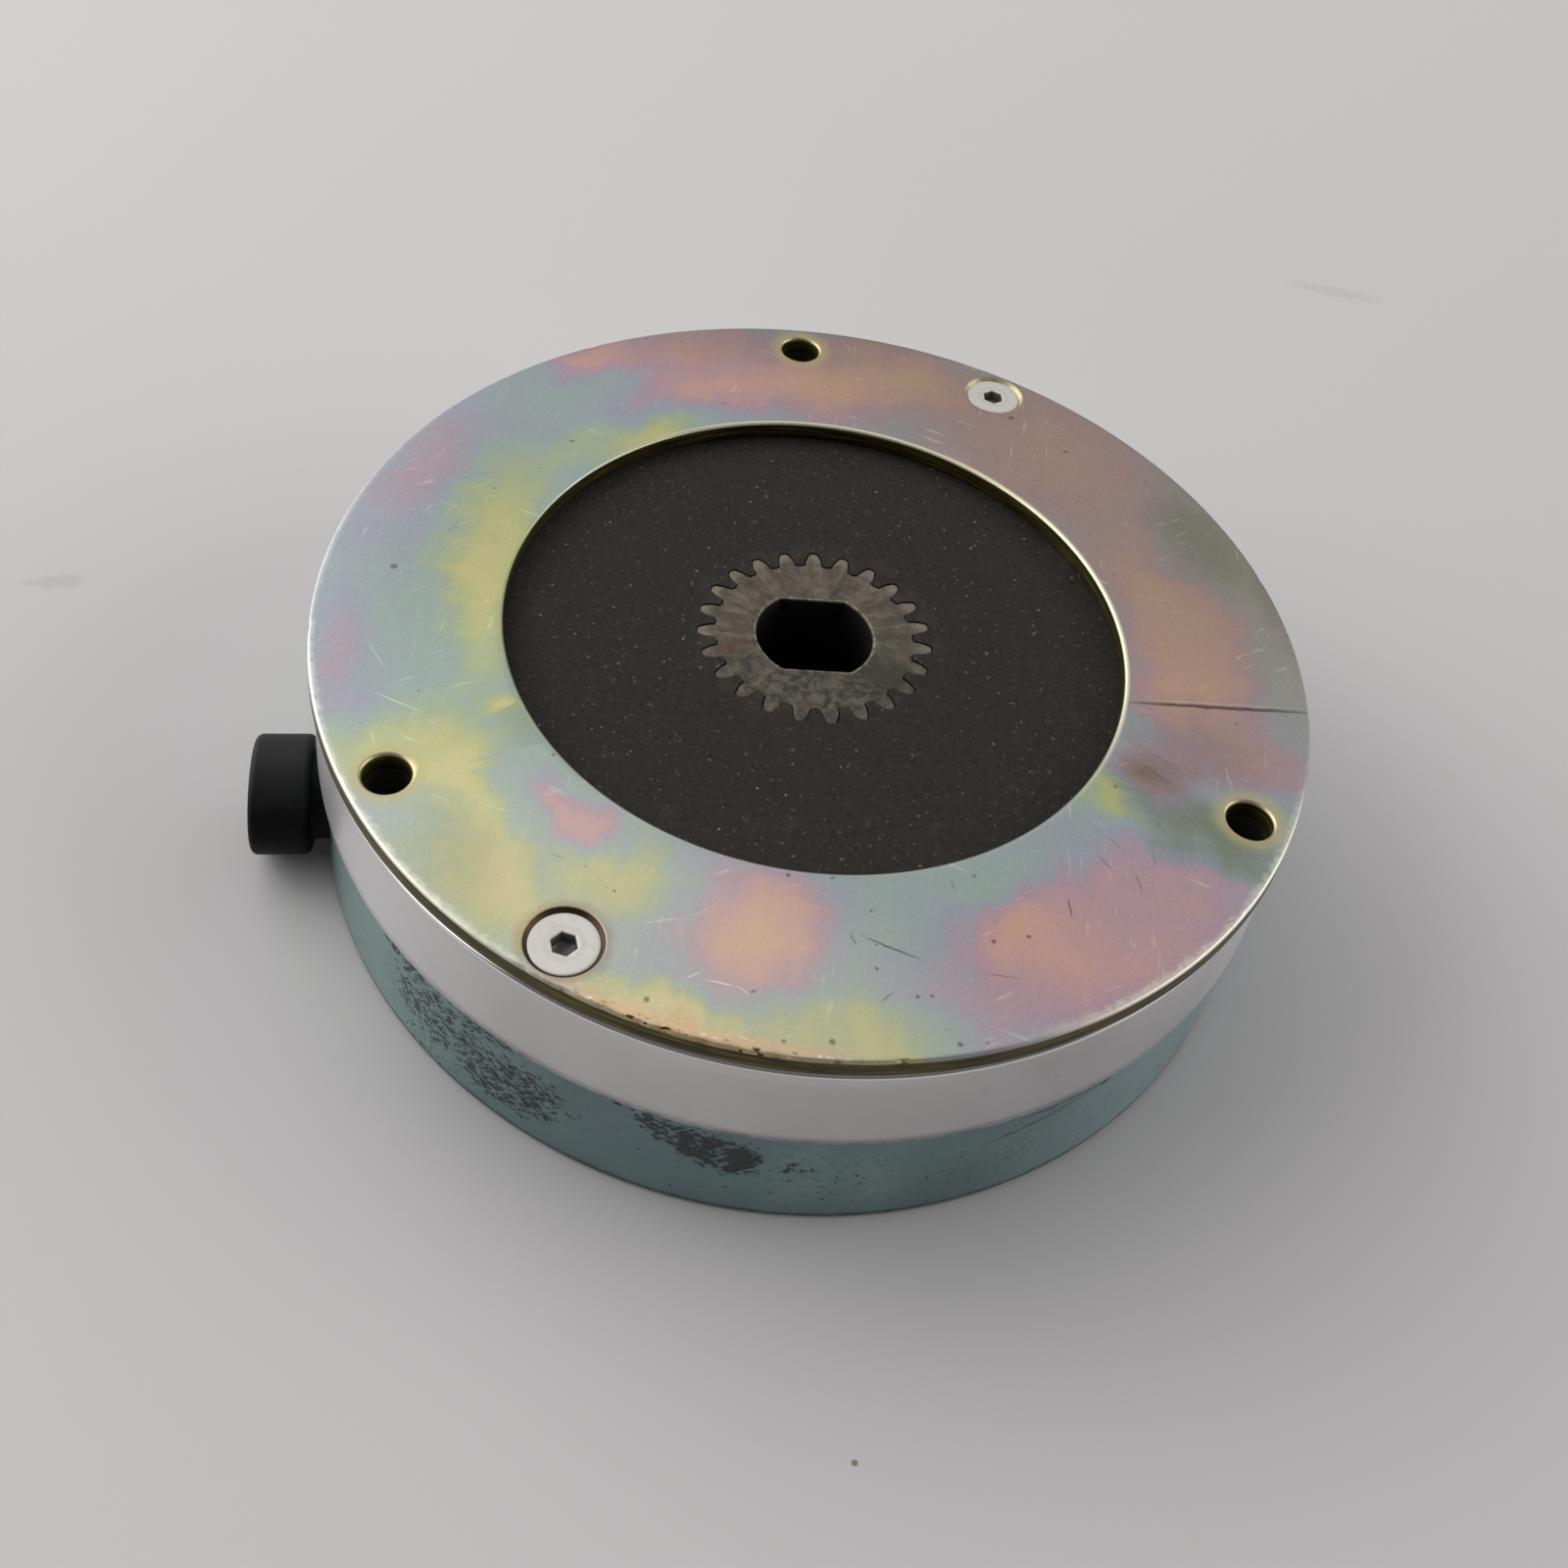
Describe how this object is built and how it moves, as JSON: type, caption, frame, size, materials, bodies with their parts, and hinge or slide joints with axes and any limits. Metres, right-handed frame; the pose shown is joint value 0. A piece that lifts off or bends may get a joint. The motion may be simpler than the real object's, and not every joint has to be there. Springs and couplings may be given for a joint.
{
  "type": "electric brake",
  "caption": "Round spring-applied electromagnetic disc brake with a toothed hub, a friction disc, a zinc-plated end plate, a steel magnet body and a side connector.",
  "frame": {"origin": "centre of the magnet body's bore, in the plane of its back face", "axes": "+Z along the axis of rotation, from the magnet body to the end plate; the connector points towards -X"},
  "size_m": [0.1245, 0.118, 0.0315],
  "materials": {
    "yellow_zinc": "yellow chromated zinc with cloudy iridescent patches, fine scratches",
    "blue_zinc": "dull blue-grey plating, worn to black in patches",
    "bright_band": "satin",
    "screw_steel": "bright zinc",
    "friction": "moulded friction lining with fine light specks",
    "hub_steel": "sintered steel, dusty",
    "bare_steel": "ground",
    "spring_steel": "drawn wire",
    "black_plastic": "fine matt",
    "bobbin_plastic": "natural nylon",
    "copper": "enamelled copper wire",
    "resin": "cast resin",
    "contact_metal": "bright",
    "seal_rubber": "plain",
    "lead_insulation": "plain"
  },
  "bodies": {
    "stator": {"magnet_body": "blue_zinc", "coil_bobbin": "bobbin_plastic", "coil_winding": "copper", "coil_potting": "resin", "end_plate": "yellow_zinc", "cover_band": "bright_band", "connector_shell": "black_plastic", "connector_seal": "seal_rubber", "contact_pin_1": "contact_metal", "contact_pin_2": "contact_metal", "lead_wire_1": "lead_insulation", "lead_wire_2": "lead_insulation", "torque_spring_1": "spring_steel", "torque_spring_2": "spring_steel", "torque_spring_3": "spring_steel", "torque_spring_4": "spring_steel", "torque_spring_5": "spring_steel", "torque_spring_6": "spring_steel", "plate_screw_1": "screw_steel", "plate_screw_2": "screw_steel", "plate_sleeve_1": "bare_steel", "plate_sleeve_2": "bare_steel", "mount_sleeve_1": "bare_steel", "mount_sleeve_2": "bare_steel", "mount_sleeve_3": "bare_steel"},
    "armature": {"armature_plate": "bare_steel"},
    "rotor_hub": {"hub": "hub_steel"},
    "rotor_disc": {"friction_disc": "friction"}
  },
  "joints": [
    {"name": "armature_stroke", "type": "slide", "parent": "stator", "child": "armature", "axis": [0, 0, 1], "range_m": [-0.0003, 0], "stiffness_N_per_m": 5000, "springref_m": 0.0015, "deforming": ["torque_spring_1", "torque_spring_2", "torque_spring_3", "torque_spring_4", "torque_spring_5", "torque_spring_6"]},
    {"name": "rotor_spin", "type": "hinge", "parent": "stator", "child": "rotor_hub", "pos_m": [0, 0, 0.0245], "axis": [0, 0, 1], "continuous": true},
    {"name": "disc_float", "type": "slide", "parent": "rotor_hub", "child": "rotor_disc", "axis": [0, 0, 1], "range_m": [-0.00015, 0]}
  ],
  "couplings": [
    {"joint": "disc_float", "follows": "armature_stroke", "ratio": 0.5}
  ]
}
